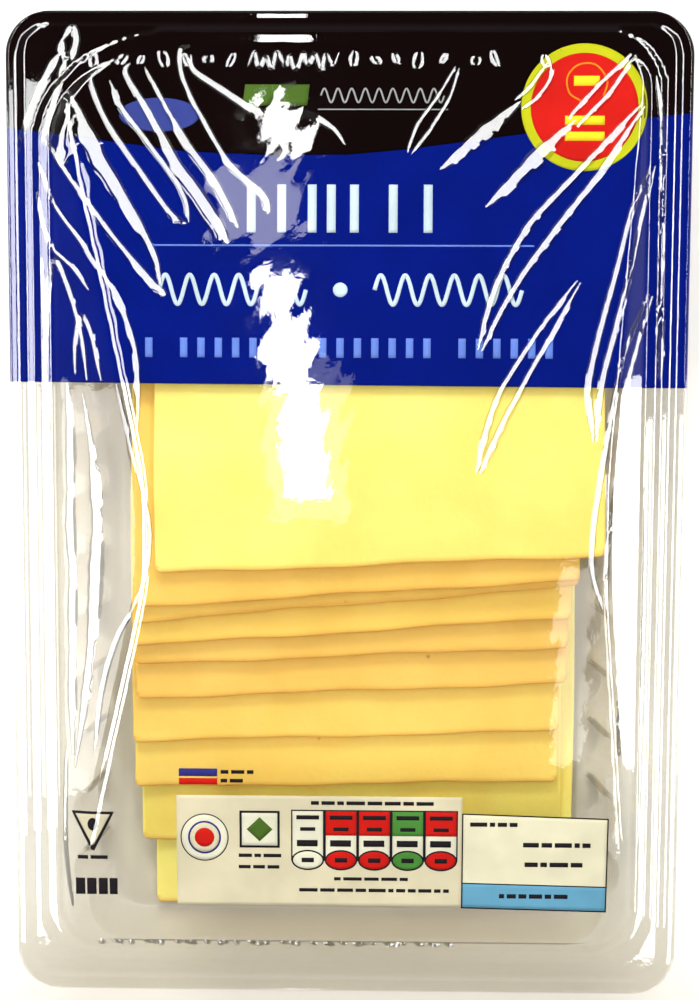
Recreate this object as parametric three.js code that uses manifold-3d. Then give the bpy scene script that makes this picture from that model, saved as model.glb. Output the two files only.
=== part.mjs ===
// A retail pack of sliced cheese: a thermoformed clear tray with a wide flange and fluted long sides,
// a printed film sealed over it, and ten square slices fanned out inside.
//
// Millimetres, +Z up, +X to the right, +Y towards the printed end of the film. The origin is at the
// middle of the pack's outline, on the plane that the tray's floor rests on.

import * as THREE from "three";
import { mergeVertices } from "three/addons/utils/BufferGeometryUtils.js";
import Module from "manifold-3d";

const wasm = await Module();
wasm.setup();

// ---- Driving dimensions ----

const pack = { halfWidth: 70, halfLength: 102.5, cornerRadius: 9 };

const tray = {
  height: 22, // top of the seal land, where the film is welded on
  wall: 0.4, // sheet thickness after forming
  flangeSide: 9, // flange width along the long sides
  flangeFoot: 9.2,
  flangeHead: 7,
  cavityRadius: 9,
  peelAcross: 27, // the cavity's corner is cut back here, for the peeling tab
  peelDown: 20,
};

const flange = {
  rimWidth: 2.7, // outer rim, one step below the flange
  landWidth: 2.9, // raised land round the cavity
  step: 0.25, // height of each of the two steps
  stepRun: 0.3, // how far a step slopes
};

// The ledge round the cavity, just under the flange: wide along the long sides, narrow at the ends.
const ledge = { drop: 2.5, width: 6.2, endWidth: 1, draft: 0.6 };

const flute = { count: 12, pitch: 12.8, halfWidth: 4.3, depth: 3.3, steps: 4, centreY: -7 };

const foot = { draft: 1.6, endDraft: 0.7, fillet: 1 }; // the wall leans in towards the floor

const slice = { size: 93, thickness: 2.4, gap: 0.15, cornerRadius: 2.2 };

// Each slice from the top one down: its front edge's y, its centre's x, and the front edge's slope.
const fan = [
  { front: -10.5, x: 6.7, slope: 0.045 },
  { front: -16.9, x: 2.1, slope: 0.069 },
  { front: -19.5, x: 2.2, slope: 0.088 },
  { front: -25.9, x: 0.8, slope: 0.072 },
  { front: -31.5, x: 0.8, slope: 0.047 },
  { front: -39.6, x: 0.7, slope: 0.043 },
  { front: -50.2, x: -0.3, slope: 0.033 },
  { front: -61.5, x: -0.3, slope: 0.023 },
  { front: -74.5, x: 0.7, slope: 0.015 },
  { front: -89.6, x: 3.7, slope: 0.01 },
];

// Past the back edge of a slice, what lies on it bends down over this run, to a share of the step.
const drape = { run: 18, keep: 0.2, station: 5 };

const film = { thickness: 0.15, gap: 0.1, tentHeight: 26.15 };

// The film's highest flat patch, over the stretch where all ten slices lie on each other.
const tent = { left: -41.5, right: 54.4, foot: -14, head: 6, cornerRadius: 2 };

const arcSteps = 6; // segments in each corner arc
const crossing = 60; // half length of a cutting block, longer than any slice's half width

// ---- Helpers: outlines, rings and closed skins ----

// An anticlockwise outline with an elliptical arc at each corner. Where flutes are given, the long sides
// carry them, each half an ellipse bulging outwards.
function outline({ left, right, foot, head, radius, peel = [radius, radius] }, flutes) {
  const points = [];
  const arc = (cx, cy, rx, ry, start) => {
    const curve = new THREE.EllipseCurve(cx, cy, rx, ry, start, start + Math.PI / 2);
    points.push(...curve.getPoints(arcSteps));
  };
  const fluteRow = (x, side) => {
    for (let i = 0; i < flute.count; i += 1) {
      const y = flute.centreY + side * (i - (flute.count - 1) / 2) * flute.pitch;
      for (let k = 0; k <= flute.steps; k += 1) {
        const turn = (Math.PI * k) / flute.steps;
        const out = side * flutes.depth * Math.sin(turn);
        points.push(new THREE.Vector2(x + out, y - side * flutes.halfWidth * Math.cos(turn)));
      }
    }
  };
  if (flutes) fluteRow(right, 1);
  arc(right - radius, head - radius, radius, radius, 0);
  arc(left + peel[0], head - peel[1], peel[0], peel[1], Math.PI / 2);
  if (flutes) fluteRow(left, -1);
  arc(left + radius, foot + radius, radius, radius, Math.PI);
  arc(right - radius, foot + radius, radius, radius, -Math.PI / 2);
  return points;
}

const packOutline = (grow, flutes) =>
  outline({
    left: -pack.halfWidth - grow,
    right: pack.halfWidth + grow,
    foot: -pack.halfLength - grow,
    head: pack.halfLength + grow,
    radius: pack.cornerRadius + grow,
  }, flutes);

const cavity = {
  left: -pack.halfWidth + tray.flangeSide,
  right: pack.halfWidth - tray.flangeSide,
  foot: -pack.halfLength + tray.flangeFoot,
  head: pack.halfLength - tray.flangeHead,
};

// The cavity's edge, grown outwards by a distance, or drawn in where it is negative.
const cavityOutline = (grow, flutes) =>
  outline({
    left: cavity.left - grow,
    right: cavity.right + grow,
    foot: cavity.foot - grow,
    head: cavity.head + grow,
    radius: tray.cavityRadius + grow,
    peel: [tray.peelAcross + grow, tray.peelDown + grow],
  }, flutes);

// The fluted wall below the ledge. The long sides lean in by sideDraft, and the ends by endDraft.
function wallOutline(grow, sideDraft, endDraft) {
  const inset = ledge.width + sideDraft - grow;
  const endInset = ledge.endWidth + endDraft - grow;
  const rounding = tray.cavityRadius - 1 + grow;
  return outline({
    left: cavity.left + inset,
    right: cavity.right - inset,
    foot: cavity.foot + endInset,
    head: cavity.head - endInset,
    radius: rounding,
    peel: [tray.peelAcross - ledge.width, tray.peelDown - ledge.endWidth],
  }, { depth: flute.depth, halfWidth: flute.halfWidth + grow });
}

const ring = (points, z) => points.map((p) => new THREE.Vector3(p.x, p.y, z));

// Two triangles for each pair of neighbouring points on two rings of the same count.
function band(triangles, lower, upper) {
  lower.forEach((a, i) => {
    const j = (i + 1) % lower.length;
    triangles.push(a, lower[j], upper[j], a, upper[j], upper[i]);
  });
}

// A flat face inside an anticlockwise ring, looking up or down.
function face(triangles, rim, upwards) {
  const flat = rim.map((p) => new THREE.Vector2(p.x, p.y));
  THREE.ShapeUtils.triangulateShape(flat, []).forEach(([a, b, c]) => {
    triangles.push(rim[a], upwards ? rim[b] : rim[c], upwards ? rim[c] : rim[b]);
  });
}

function closedSkin(triangles) {
  const geometry = new THREE.BufferGeometry().setFromPoints(triangles);
  return mergeVertices(geometry, 1e-4);
}

// ---- The tray ----

function trayGeometry() {
  const { height, wall } = tray;
  const ledgeTop = height - ledge.drop;
  const field = height - flange.step;
  const rim = field - flange.step;
  const { rimWidth, landWidth, stepRun } = flange;

  const inside = {
    floor: ring(wallOutline(-foot.fillet, foot.draft, foot.endDraft), wall),
    footTop: ring(wallOutline(0, foot.draft, foot.endDraft), wall + foot.fillet),
    wallTop: ring(wallOutline(0, 0, 0), ledgeTop),
  };
  const outside = {
    floor: ring(wallOutline(wall - foot.fillet, foot.draft, foot.endDraft), 0),
    footTop: ring(wallOutline(wall, foot.draft, foot.endDraft), foot.fillet),
    wallTop: ring(wallOutline(wall, 0, 0), ledgeTop - wall),
  };

  // From the ledge over the flange to the cut edge, and back underneath. These rings have flutes of no
  // depth, so that their points pair up with the fluted wall's.
  const flat = { depth: 0, halfWidth: flute.halfWidth };
  const fromCavity = (grow, z) => ring(cavityOutline(grow, flat), z);
  const fromEdge = (inset, z) => ring(packOutline(-inset, flat), z);
  const flangeRings = [
    fromCavity(-ledge.draft, ledgeTop),
    fromCavity(0, height),
    fromCavity(landWidth, height),
    fromCavity(landWidth + stepRun, field),
    fromEdge(rimWidth + stepRun, field),
    fromEdge(rimWidth, rim),
    fromEdge(0, rim),
    fromEdge(0, rim - wall),
    fromEdge(rimWidth, rim - wall),
    fromEdge(rimWidth + stepRun, field - wall),
    fromCavity(landWidth + stepRun, field - wall),
    fromCavity(landWidth, height - wall),
    fromCavity(wall, height - wall),
    fromCavity(wall - ledge.draft, ledgeTop - wall),
  ];

  const triangles = [];
  face(triangles, inside.floor, true);
  band(triangles, inside.footTop, inside.floor);
  band(triangles, inside.wallTop, inside.footTop);
  band(triangles, flangeRings[0], inside.wallTop);
  flangeRings.slice(1).forEach((next, i) => band(triangles, next, flangeRings[i]));
  band(triangles, outside.wallTop, flangeRings.at(-1));
  band(triangles, outside.footTop, outside.wallTop);
  band(triangles, outside.floor, outside.footTop);
  face(triangles, outside.floor, false);
  return closedSkin(triangles);
}

// ---- The film, welded flat round the flange and tented over the stack ----

function filmGeometry() {
  const { height } = tray;
  const { rimWidth, landWidth, stepRun, step } = flange;
  const tentOutline = outline({ ...tent, radius: tent.cornerRadius });
  const profile = (lift) => [
    ring(packOutline(0), height - 2 * step + lift),
    ring(packOutline(-rimWidth), height - 2 * step + lift),
    ring(packOutline(-rimWidth - stepRun), height - step + lift),
    ring(cavityOutline(landWidth + stepRun), height - step + lift),
    ring(cavityOutline(landWidth), height + lift),
    ring(cavityOutline(0), height + lift),
    ring(tentOutline, film.tentHeight + lift - film.gap),
  ];
  const under = profile(film.gap);
  const over = profile(film.gap + film.thickness);
  const triangles = [];
  band(triangles, under[0], over[0]);
  over.slice(1).forEach((next, i) => band(triangles, over[i], next));
  under.slice(1).forEach((next, i) => band(triangles, next, under[i]));
  face(triangles, over.at(-1), true);
  face(triangles, under.at(-1), false);
  return closedSkin(triangles);
}

// ---- The slices ----

function toManifold(geometry) {
  const bare = geometry.clone();
  bare.deleteAttribute("normal");
  bare.deleteAttribute("uv");
  const merged = mergeVertices(bare, 1e-4);
  return new wasm.Manifold(
    new wasm.Mesh({
      numProp: 3,
      vertProperties: new Float32Array(merged.attributes.position.array),
      triVerts: new Uint32Array(merged.index.array),
    }),
  );
}

function fromManifold(solid) {
  const mesh = solid.getMesh();
  const geometry = new THREE.BufferGeometry();
  geometry.setAttribute("position", new THREE.BufferAttribute(new Float32Array(mesh.vertProperties), 3));
  geometry.setIndex(new THREE.BufferAttribute(new Uint32Array(mesh.triVerts), 1));
  return geometry;
}

const backEdge = ({ front, slope }) => front + slice.size + (slope * slice.size) / 2;

// How much one slice still lifts what lies on it at y: all of it up to its back edge, then fading to the
// share that it keeps.
function liftPast(y, edge) {
  return THREE.MathUtils.lerp(1, drape.keep, THREE.MathUtils.smoothstep(y, edge, edge + drape.run));
}

// The height of a slice's underside: the floor, and one pitch for each slice still under it.
function underside(index, y) {
  const below = fan.slice(index + 1).reduce((sum, other) => sum + liftPast(y, backEdge(other)), 0);
  return tray.wall + 2 * slice.gap + below * (slice.thickness + slice.gap);
}

// A slice is a draped strip, seen from the side, cut to its rounded footprint, seen from above. All the
// strips bend at the same stations, so neighbours stay one gap apart everywhere.
function sliceGeometry(index) {
  const { front, x, slope } = fan[index];
  const half = slice.size / 2;
  const stations = [-crossing * 2];
  for (let y = 0; y <= crossing * 2; y += drape.station) stations.push(y);
  const strip = new THREE.Shape([
    ...stations.map((y) => new THREE.Vector2(y, underside(index, y))),
    ...stations.toReversed().map((y) => new THREE.Vector2(y, underside(index, y) + slice.thickness)),
  ]);
  const draped = new THREE.ExtrudeGeometry(strip, { depth: 2 * crossing, bevelEnabled: false });
  // The strip is drawn in a plane of y and z, and pushed out along x.
  draped.applyMatrix4(new THREE.Matrix4().makeBasis(
    new THREE.Vector3(0, 1, 0),
    new THREE.Vector3(0, 0, 1),
    new THREE.Vector3(1, 0, 0),
  ));
  draped.translate(-crossing, 0, 0);

  const corner = (sx, sy) => new THREE.Vector2(x + sx * half, front + half + sy * half + sx * slope * half);
  const corners = [corner(-1, -1), corner(1, -1), corner(1, 1), corner(-1, 1)];
  const footprint = new THREE.Shape();
  corners.forEach((at, i) => {
    const before = at.clone().lerp(corners[(i + 3) % 4], slice.cornerRadius / slice.size);
    const after = at.clone().lerp(corners[(i + 1) % 4], slice.cornerRadius / slice.size);
    if (i === 0) footprint.moveTo(before.x, before.y);
    else footprint.lineTo(before.x, before.y);
    footprint.quadraticCurveTo(at.x, at.y, after.x, after.y);
  });
  const cutter = new THREE.ExtrudeGeometry(footprint, { depth: crossing, bevelEnabled: false, curveSegments: 3 });
  cutter.translate(0, 0, -1);
  return fromManifold(toManifold(draped).intersect(toManifold(cutter)));
}

// ---- Materials and the scene graph ----

const clearTray = new THREE.MeshStandardMaterial({ color: 0xd9d4cc, roughness: 0.12, metalness: 0 });
const clearFilm = new THREE.MeshStandardMaterial({ color: 0xe9ecf2, roughness: 0.08, metalness: 0 });
const sliceColours = [0xf7e98a, 0xf0d972];

function named(name, geometry, material) {
  const mesh = new THREE.Mesh(geometry, material);
  mesh.name = name;
  return mesh;
}

const model = new THREE.Group();
model.add(named("tray", trayGeometry(), clearTray));
model.add(named("lid_film", filmGeometry(), clearFilm));
fan.forEach((_, index) => {
  const number = String(index + 1).padStart(2, "0");
  const cheese = new THREE.MeshStandardMaterial({ color: sliceColours[index % 2], roughness: 0.55, metalness: 0 });
  model.add(named(`slice_${number}`, sliceGeometry(index), cheese));
});

export default model;
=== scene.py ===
import math

import bpy
import numpy as np
from mathutils import Matrix, Vector


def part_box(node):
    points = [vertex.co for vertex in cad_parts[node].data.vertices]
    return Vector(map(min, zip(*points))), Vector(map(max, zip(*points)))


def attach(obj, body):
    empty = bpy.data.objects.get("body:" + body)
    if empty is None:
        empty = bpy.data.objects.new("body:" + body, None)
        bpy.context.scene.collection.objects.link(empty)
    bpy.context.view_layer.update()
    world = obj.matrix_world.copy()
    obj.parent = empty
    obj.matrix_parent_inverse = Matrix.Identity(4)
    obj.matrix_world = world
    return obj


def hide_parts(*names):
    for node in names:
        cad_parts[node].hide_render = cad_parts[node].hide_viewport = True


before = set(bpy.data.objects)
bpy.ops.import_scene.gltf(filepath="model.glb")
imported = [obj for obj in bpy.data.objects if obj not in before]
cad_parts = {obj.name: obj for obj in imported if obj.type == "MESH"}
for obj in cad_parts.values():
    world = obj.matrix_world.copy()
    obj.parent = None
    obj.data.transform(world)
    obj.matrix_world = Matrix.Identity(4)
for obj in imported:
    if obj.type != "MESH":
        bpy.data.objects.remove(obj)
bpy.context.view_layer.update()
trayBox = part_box("tray")
mm = 0.001  # every shape below is worked out in millimetres and made in metres
print("frame loaded:", len(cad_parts), "CAD nodes")

# the viewpoint, in millimetres and degrees
view = {"place": (6.13, 32.30, 350.0), "turn": (-5.106, 1.001, 0.230), "lens": 57.03}

# Each lamp: where its middle is, the way across it and up it to its edges, and its brightness. The tall side
# panels draw the bright lines on the film's wrinkles, and the others light the pack softly.
lamps = [
    {"name": "leftPanel", "at": (-260, 120, 600), "across": (26, 0, 10), "up": (0, 370, 0), "glow": 9.0},
    {"name": "rightPanel", "at": (280, 90, 600), "across": (26, 0, -10), "up": (0, 400, 0), "glow": 8.8},
    {"name": "leftRimLamp", "at": (-192, -62, 600), "across": (14, 0, 0), "up": (0, 248, 0), "glow": 7.0},
    {"name": "rightRimLamp", "at": (168, -160, 600), "across": (16, 0, 0), "up": (0, 160, 0), "glow": 3.0},
    {"name": "overheadLamp", "at": (-37, 12, 640), "across": (12, 0, 0), "up": (-2, 62, 0), "glow": 12.0},
    {"name": "overheadHalo", "at": (-36, 10, 650), "across": (24, 0, 0), "up": (-2, 74, 0), "glow": 0.9},
    {"name": "overheadTail", "at": (-50, 106, 640), "across": (13, 0, 0), "up": (-9, 34, 0), "glow": 12.0},
    {"name": "sparkLamp", "at": (-66, 180, 640), "across": (26, 0, 0), "up": (-6, 22, 0), "glow": 2.4},
    {"name": "starLamp", "at": (-50, 224, 640), "across": (15, 0, 0), "up": (-3, 14, 0), "glow": 12.0},
    {"name": "backLamp", "at": (-40, 330, 300), "across": (-110, 0, 0), "up": (0, -36, 40), "glow": 14.0,
     "mirrored": False},
    {"name": "lowRight", "at": (740, -110, 270), "across": (0, 130, 0), "up": (-60, 0, 120), "glow": 7.5},
    {"name": "lowLeft", "at": (-760, 0, 420), "across": (0, -200, 0), "up": (80, 0, 130), "glow": 6.5},
    {"name": "leftVeil", "at": (-428, -118, 600), "across": (30, 0, 16), "up": (0, 132, 0), "glow": 1.6},
    {"name": "rightVeil", "at": (122, -178, 610), "across": (10, 0, 0), "up": (3, 92, 0), "glow": 1.25},
    {"name": "lowBack", "at": (0, 900, 560), "across": (-420, 0, 0), "up": (0, -130, 240), "glow": 1.0,
     "mirrored": False},
]

# the pack, in millimetres
pack = {
    "halfWidth": trayBox[1].x / mm,
    "halfLength": trayBox[1].y / mm,
    "cornerRadius": 9.0,
}
tray = {
    "height": trayBox[1].z / mm,
    "wall": 0.4,
    "flangeSide": 9.0,
    "flangeFoot": 9.2,
    "flangeHead": 7.0,
    "cavityRadius": 9.0,
    "peelAcross": 27.0,  # the cavity's corner is cut back here for the peeling tab
    "peelDown": 20.0,
    "cornerSteps": 17,
    "bend": 0.12,  # the smallest roundings
    "fillet": (0.35, 0.5),  # across and up, at the ledge and at the cavity's edge
    "middle": (0.0, -2.0),  # of the floor, where its faces meet
}
flange = {"rimWidth": 2.7, "landWidth": 2.9, "step": 0.25, "stepRun": 0.3}
ledge = {"drop": 2.5, "width": 6.2, "endWidth": 1.0, "draft": 0.6}
flute = {"count": 12, "pitch": 12.8, "halfWidth": 4.3, "depth": 3.3, "centreY": -7.0, "steps": 13}
foot = {"draft": 1.6, "endDraft": 0.7, "fillet": 1.0, "tighter": 1.0, "plain": 1.5}
cavity = {
    "left": -pack["halfWidth"] + tray["flangeSide"],
    "right": pack["halfWidth"] - tray["flangeSide"],
    "foot": -pack["halfLength"] + tray["flangeFoot"],
    "head": pack["halfLength"] - tray["flangeHead"],
}


def makePiece(name, points, faceSets, materials, picks=None, sharp=None):
    # points in millimetres, faceSets a list of index arrays with 3 or 4 corners a face
    mesh = bpy.data.meshes.new(name)
    mesh.vertices.add(len(points))
    mesh.vertices.foreach_set("co", (np.asarray(points) * mm).astype(np.float32).ravel())
    corners = np.concatenate([faces.ravel() for faces in faceSets])
    counts = np.concatenate([np.full(len(faces), faces.shape[1]) for faces in faceSets])
    mesh.loops.add(len(corners))
    mesh.loops.foreach_set("vertex_index", corners.astype(np.int32))
    mesh.polygons.add(len(counts))
    starts = np.concatenate([[0], np.cumsum(counts)[:-1]])
    mesh.polygons.foreach_set("loop_start", starts.astype(np.int32))
    mesh.polygons.foreach_set("use_smooth", np.ones(len(counts), bool))
    for material in materials:
        mesh.materials.append(material)
    if picks is not None:
        mesh.polygons.foreach_set("material_index", picks.astype(np.int32))
    mesh.update(calc_edges=True)
    mesh.validate()
    if sharp is not None:
        mesh.set_sharp_from_angle(angle=math.radians(sharp))
    piece = bpy.data.objects.new(name, mesh)
    bpy.context.scene.collection.objects.link(piece)
    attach(piece, "root")
    return piece


def gridQuads(rows, columns, offset=0, flip=False):
    # the quads between the neighbouring points of a rows by columns grid, anticlockwise from above
    index = np.arange(rows * columns).reshape(rows, columns) + offset
    quads = np.stack([index[:-1, :-1], index[:-1, 1:], index[1:, 1:], index[1:, :-1]], -1)
    quads = quads.reshape(-1, 4)
    return quads[:, ::-1] if flip else quads


def borderLoop(rows, columns):
    # the grid's border points, anticlockwise from above, starting at row 0 and column 0
    index = np.arange(rows * columns).reshape(rows, columns)
    return np.concatenate([index[0, :-1], index[:-1, -1], index[-1, :0:-1], index[:0:-1, 0]])


def sheetParts(x, y, top, under, offset=0):
    # a closed sheet: one grid for its top, one for its underside, and a strip of quads round the border
    rows, columns = x.shape
    count = rows * columns
    points = np.concatenate([
        np.stack([x, y, top], -1).reshape(-1, 3),
        np.stack([x, y, under], -1).reshape(-1, 3),
    ])
    rim = borderLoop(rows, columns)
    following = np.roll(rim, -1)
    side = np.stack([rim + count, following + count, following, rim], -1) + offset
    faces = np.concatenate([
        gridQuads(rows, columns, offset),
        gridQuads(rows, columns, offset + count, flip=True),
        side,
    ])
    return points, faces


def joinedSheets(sheets):
    # several closed sheets, each (x, y, top, under), as one array of points and one of faces a sheet
    points, faces = [], []
    offset = 0
    for sheet in sheets:
        sheetPoints, sheetFaces = sheetParts(*sheet, offset)
        points.append(sheetPoints)
        faces.append(sheetFaces)
        offset += len(sheetPoints)
    return np.concatenate(points), faces


def smoothStep(value):
    # 0 up to 0 and 1 from 1 on, with 3t^2 - 2t^3 between
    t = np.clip(value, 0.0, 1.0)
    return t * t * (3.0 - 2.0 * t)


def softLeast(values, softness):
    # a least value that rounds off where two of the values meet
    stack = np.stack(values)
    return -softness * np.log(np.sum(np.exp(-stack / softness), axis=0))


def curveThrough(points, count):
    # a Catmull-Rom curve: each span is a cubic through its two ends, with tangents along the neighbours
    p = np.asarray(points, float)
    p = np.concatenate([2 * p[:1] - p[1:2], p, 2 * p[-1:] - p[-2:-1]])
    spans = len(p) - 3
    at = np.linspace(0, spans, count)
    i = np.minimum(at.astype(int), spans - 1)
    t = (at - i)[:, None]
    a, b, c, d = p[i], p[i + 1], p[i + 2], p[i + 3]
    return 0.5 * (2 * b + (c - a) * t + (2 * a - 5 * b + 4 * c - d) * t**2 + (3 * b - a - 3 * c + d) * t**3)


def rightOf(curve):
    # the unit direction to the right of the curve at each of its points
    run = np.gradient(curve, axis=0)
    run /= np.hypot(run[:, 0], run[:, 1])[:, None]
    return np.column_stack([run[:, 1], -run[:, 0]])


# film: its height over every point of the pack

film = {
    "thickness": 0.15,
    "gap": 0.1,
    "top": 26.3,  # the highest flat patch, over the tallest part of the stack
    "patchLeft": -41.5,
    "patchRight": 54.4,
    "patchFoot": -14.0,
    "patchHead": 6.0,
    "softness": 0.035,
    "fullness": 0.02,
    "shoulder": 7.0,  # the roof is full at this distance inside the cavity's edge
    "ripple": 0.011,
    "columns": 200,
    "rowCounts": (8, 76, 136),  # in a narrow band at the foot, up to the print, and under the print
    "footBand": 3.0,
    "denseFrom": 5.0,
}


def roundedDistance(x, y, halfX, halfY, radius):
    # distance inwards from a rounded rectangle's outline, negative outside it
    qx = np.abs(x) - (halfX - radius)
    qy = np.abs(y) - (halfY - radius)
    outside = np.hypot(np.maximum(qx, 0), np.maximum(qy, 0))
    inside = np.minimum(np.maximum(qx, qy), 0)
    return radius - outside - inside


def cavityDistance(x, y):
    # distance inwards from the cavity's outline, whose peeling corner is a quarter of an ellipse
    midX = (cavity["left"] + cavity["right"]) / 2
    midY = (cavity["foot"] + cavity["head"]) / 2
    halfX = (cavity["right"] - cavity["left"]) / 2
    halfY = (cavity["head"] - cavity["foot"]) / 2
    plain = roundedDistance(x - midX, y - midY, halfX, halfY, tray["cavityRadius"])
    across = (cavity["left"] + tray["peelAcross"] - x) / tray["peelAcross"]
    up = (y - cavity["head"] + tray["peelDown"]) / tray["peelDown"]
    reach = np.hypot(across, up)
    scale = np.hypot(across / tray["peelAcross"], up / tray["peelDown"]) / np.maximum(reach, 1e-6)
    peel = (1 - reach) / np.maximum(scale, 1e-6)
    return np.where((across > 0) & (up > 0), np.minimum(peel, plain), plain)


def tentHeight(x, y):
    # the welded flange with its two small steps, and a hip roof from the cavity's edge to the flat patch
    edge = roundedDistance(x, y, pack["halfWidth"], pack["halfLength"], pack["cornerRadius"])
    inward = cavityDistance(x, y)
    low = tray["height"] - 2 * flange["step"]
    rim = smoothStep((edge - flange["rimWidth"]) / flange["stepRun"])
    land = smoothStep((inward + flange["landWidth"] + flange["stepRun"]) / flange["stepRun"])
    sealed = low + flange["step"] * (rim + land) + film["gap"] + film["thickness"]
    shares = [
        (x - cavity["left"]) / (film["patchLeft"] - cavity["left"]),
        (cavity["right"] - x) / (cavity["right"] - film["patchRight"]),
        (y - cavity["foot"]) / (film["patchFoot"] - cavity["foot"]),
        (cavity["head"] - y) / (cavity["head"] - film["patchHead"]),
        inward / film["shoulder"],
        np.ones_like(x),
    ]
    share = np.clip(softLeast(shares, film["softness"]) + film["fullness"], 0, 1)
    return sealed + (film["top"] - sealed) * share


def rippleHeight(x, y):
    # crossing shallow waves left by the stretching, livelier towards the head
    wave = np.sin(0.42 * x + 1.1 * np.sin(0.19 * y)) * np.sin(0.33 * y + 0.8 * np.sin(0.23 * x))
    wave += 0.5 * np.sin(0.9 * x - 0.7 * y + 2.0 * np.sin(0.11 * x))
    return film["ripple"] * wave * (0.35 + 0.65 * smoothStep((y - 15) / 25))


def filmHeight(x, y):
    # the tent and its ripples, which are gentler on the weld
    inward = cavityDistance(x, y)
    loose = 0.3 + 0.7 * smoothStep((inward + 1.0) / 3.0)
    return tentHeight(x, y) + rippleHeight(x, y) * loose


def linear(red, green, blue):
    # a colour given as it shows on a screen, from 0 to 255, turned into the renderer's linear values
    share = np.array([red, green, blue]) / 255
    value = np.where(share <= 0.04045, share / 12.92, ((share + 0.055) / 1.055) ** 2.4)
    return (*value.tolist(), 1.0)


def scaled(colour, shares):
    # the colour times one share, or a share for each of red, green and blue, and never past full
    value = np.minimum(np.array(colour[:3]) * shares, 1.0)
    return (*value.tolist(), 1.0)


def addNode(tree, kind, inputs=None, **settings):
    # each input is given as a fixed value, or as the node or the output that feeds it
    node = tree.nodes.new(kind)
    for name, value in settings.items():
        setattr(node, name, value)
    for name, value in (inputs or {}).items():
        if isinstance(value, bpy.types.Node):
            value = value.outputs[0]
        if isinstance(value, bpy.types.NodeSocket):
            tree.links.new(value, node.inputs[name])
        else:
            node.inputs[name].default_value = value
    return node


def makeGrainGroup():
    # fine and broad unevenness in object space: two noises, each near 0.5, at their own scales
    group = bpy.data.node_groups.new("unevenness", "ShaderNodeTree")
    for name, value in (("Fine Scale", 900.0), ("Broad Scale", 60.0)):
        group.interface.new_socket(name, in_out="INPUT", socket_type="NodeSocketFloat").default_value = value
    for name in ("Fine", "Broad"):
        group.interface.new_socket(name, in_out="OUTPUT", socket_type="NodeSocketFloat")
    inward = addNode(group, "NodeGroupInput")
    place = addNode(group, "ShaderNodeTexCoord").outputs["Object"]
    noises = {}
    for name, detail in (("Fine", 3.0), ("Broad", 4.0)):
        scale = inward.outputs[name + " Scale"]
        values = {"Vector": place, "Scale": scale, "Detail": detail, "Roughness": 0.55}
        noises[name] = addNode(group, "ShaderNodeTexNoise", values).outputs["Fac"]
    addNode(group, "NodeGroupOutput", noises)
    return group


grainGroup = makeGrainGroup()


class Shader:
    # a material or a world under construction, with short ways to add its nodes
    def __init__(self, owner):
        owner.use_nodes = True
        self.owner = owner
        self.tree = owner.node_tree
        self.tree.nodes.clear()

    def add(self, kind, inputs=None, **settings):
        return addNode(self.tree, kind, inputs, **settings)

    def maths(self, operation, *inputs, **settings):
        return self.add("ShaderNodeMath", dict(enumerate(inputs)), operation=operation, **settings)

    def grain(self, fine, broad):
        values = {"Fine Scale": fine, "Broad Scale": broad}
        return self.add("ShaderNodeGroup", values, node_tree=grainGroup).outputs

    def ramp(self, source, low, high, fromLow=0.35, fromHigh=0.65):
        # low and high are two numbers; the source's middle range is spread between them
        ends = {"From Min": fromLow, "From Max": fromHigh, "To Min": low, "To Max": high}
        return self.add("ShaderNodeMapRange", {"Value": source, **ends})

    def blend(self, factor, first, second):
        # the first colour where the factor is 0, and the second where it is 1
        return self.add("ShaderNodeMix", {"Factor": factor, 6: first, 7: second}, data_type="RGBA").outputs[2]

    def bump(self, height, distance):
        return self.add("ShaderNodeBump", {"Height": height, "Distance": distance})

    def finish(self, surface, kind="ShaderNodeOutputMaterial"):
        self.add(kind, {"Surface": surface})
        return self.owner


def inkMaterial(name, colour, mottle=0.08):
    # printing ink: matt, with a faint mottle and the light and dark of an uneven coat
    shader = Shader(bpy.data.materials.new(name))
    grain = shader.grain(1400.0, 90.0)
    cloud = shader.ramp(grain["Broad"], 0, 1)
    return shader.finish(shader.add("ShaderNodeBsdfPrincipled", {
        "Base Color": shader.blend(cloud, scaled(colour, 1 - mottle), scaled(colour, 1 + mottle)),
        "Roughness": shader.ramp(grain["Fine"], 0.55, 0.75),
        "Specular IOR Level": 0.0,
    }))


clearLook = {
    "filmMirror": (0.1, 0.95, 5.0),  # the share mirrored straight on, that at a grazing angle, and the power
    "filmTint": linear(250, 250, 248),
    "trayHaze": (0.06, 0.32, 2.2),  # the same for how milky a tray wall looks
    "trayTint": linear(250, 248, 244),
    "trayMilk": linear(232, 227, 217),
    "trayDull": linear(222, 215, 202),
}


def mirrorShare(shader, straight, slanted, power):
    # the share that is mirrored: little straight on, and more towards a grazing angle, by the facing
    # angle's power
    facing = shader.add("ShaderNodeLayerWeight", {"Blend": 0.5}).outputs["Facing"]
    raised = shader.maths("POWER", facing, power)
    spread = shader.maths("MULTIPLY_ADD", raised, slanted - straight, straight)
    # thin clear plastic casts next to no shadow
    shadow = shader.add("ShaderNodeLightPath").outputs["Is Shadow Ray"]
    return shader.maths("SUBTRACT", spread, shadow, use_clamp=True)


def clearMaterial(shader, tint, share, surface):
    # see-through, but for the share that shows the surface
    clear = shader.add("ShaderNodeBsdfTransparent", {"Color": tint})
    return shader.finish(shader.add("ShaderNodeMixShader", {0: share, 1: clear, 2: surface}))


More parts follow.
